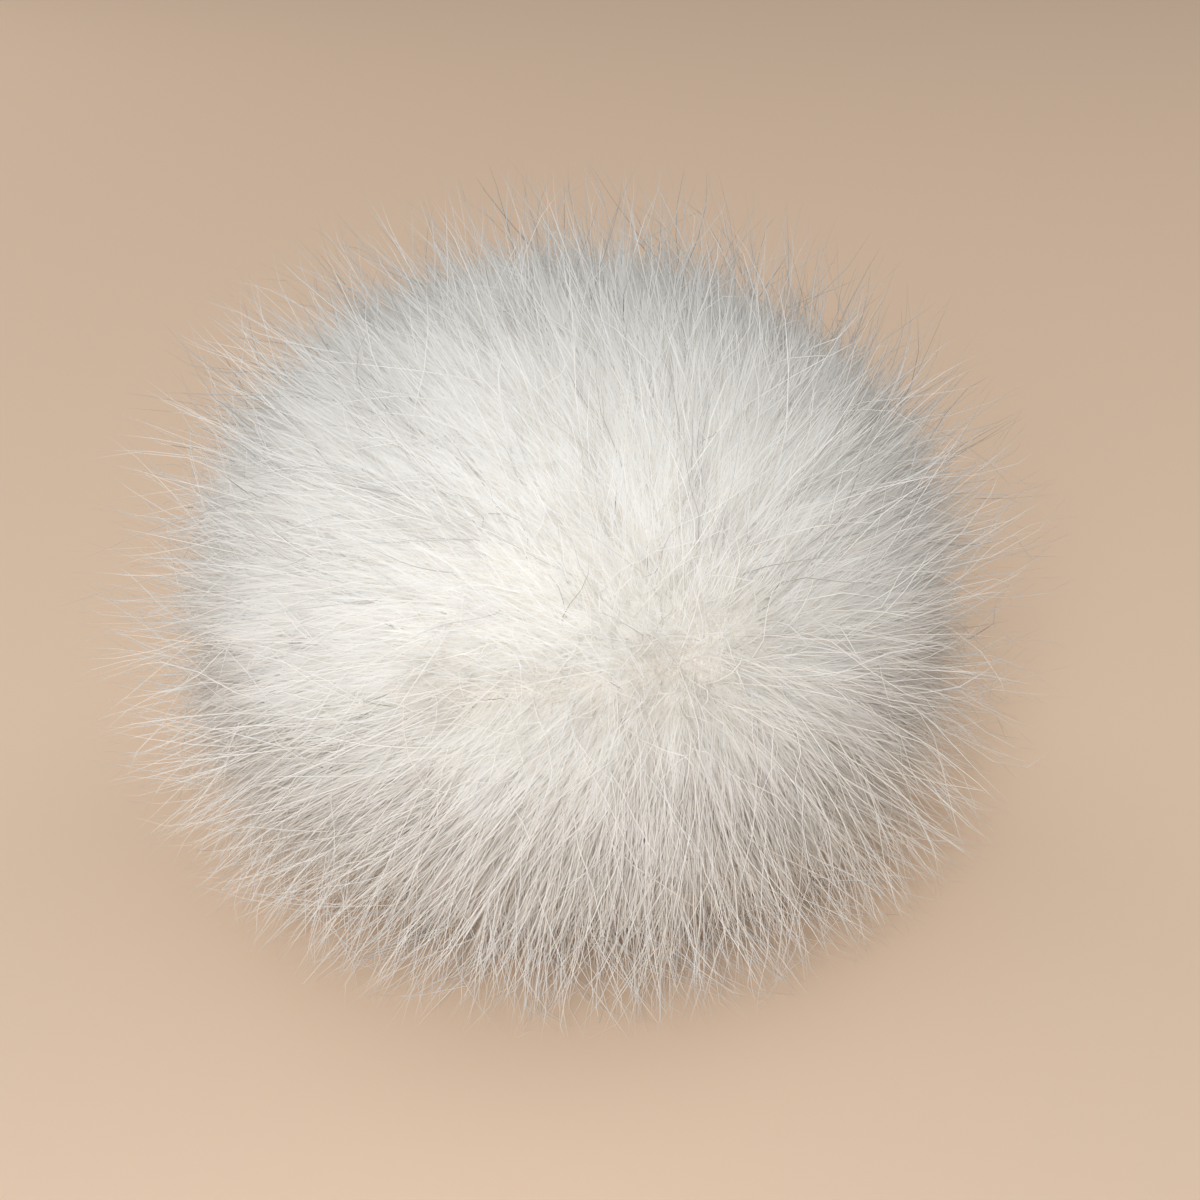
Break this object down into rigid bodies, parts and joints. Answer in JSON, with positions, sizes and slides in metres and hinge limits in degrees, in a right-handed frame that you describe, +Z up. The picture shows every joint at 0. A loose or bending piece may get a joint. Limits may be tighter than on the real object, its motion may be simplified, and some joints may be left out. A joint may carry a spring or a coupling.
{
  "type": "fur pom-pom",
  "caption": "Round ball of long white fur, used as a trim on a hat, bag or keyring, resting on a small flat spot.",
  "frame": {"origin": "the middle of the flat spot that the ball rests on, under the middle of its box", "axes": "+Z up, -Y towards the side where the fur parts at its whorl, +X to the right as seen from there"},
  "size_m": [0.1494, 0.1524, 0.1124],
  "materials": {
    "fur": "soft white fur, cream to beige at the roots"
  },
  "bodies": {
    "root": {"fur_ball": "fur"}
  },
  "joints": []
}
